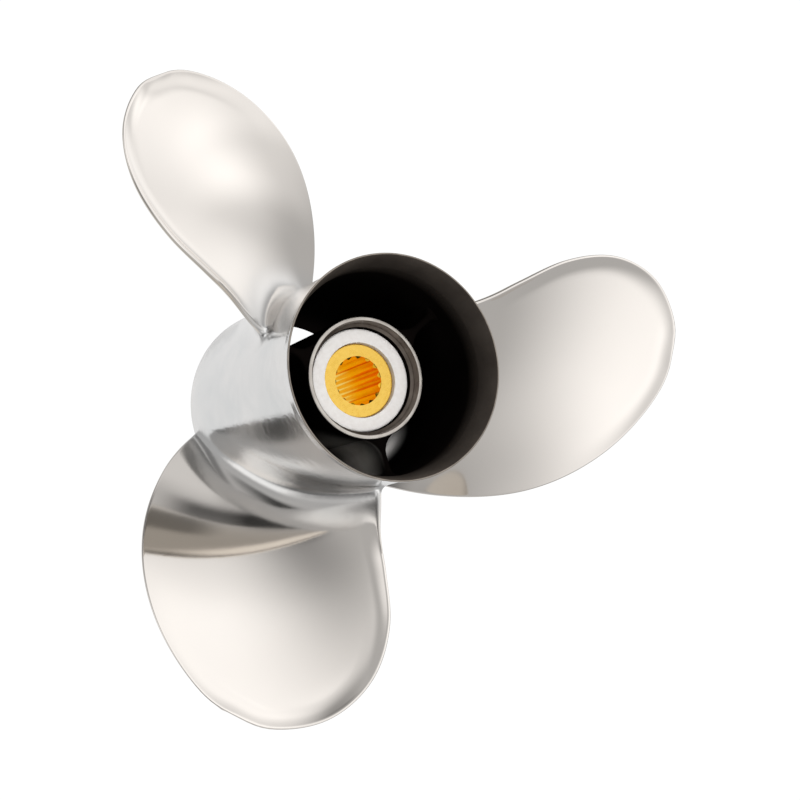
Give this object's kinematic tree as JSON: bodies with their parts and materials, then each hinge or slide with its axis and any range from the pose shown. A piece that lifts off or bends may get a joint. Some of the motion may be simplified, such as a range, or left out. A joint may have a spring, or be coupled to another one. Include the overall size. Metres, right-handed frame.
{
  "type": "outboard boat propeller",
  "caption": "Polished stainless boat propeller with raked, cupped blades on a through-hub exhaust barrel and a splined brass sleeve in a plastic drive bush.",
  "frame": {"origin": "on the shaft axis, in the plane of the barrel's forward rim, on which the propeller stands", "axes": "+Z along the shaft axis towards the aft, exhaust end; +Y along the middle line of blade_1"},
  "size_m": [0.3109, 0.3012, 0.1445],
  "materials": {
    "polished_stainless": "mirror polished",
    "stained_stainless": "as cast, dark inside the exhaust passages",
    "bush_plastic": "satin off-white",
    "sleeve_brass": "machined"
  },
  "bodies": {
    "root": {"outer_barrel": "polished_stainless", "inner_barrel": "stained_stainless", "rib_1": "stained_stainless", "rib_2": "stained_stainless", "rib_3": "stained_stainless", "blade_1": "polished_stainless", "blade_2": "polished_stainless", "blade_3": "polished_stainless", "drive_bush": "bush_plastic", "spline_sleeve": "sleeve_brass"}
  },
  "joints": []
}
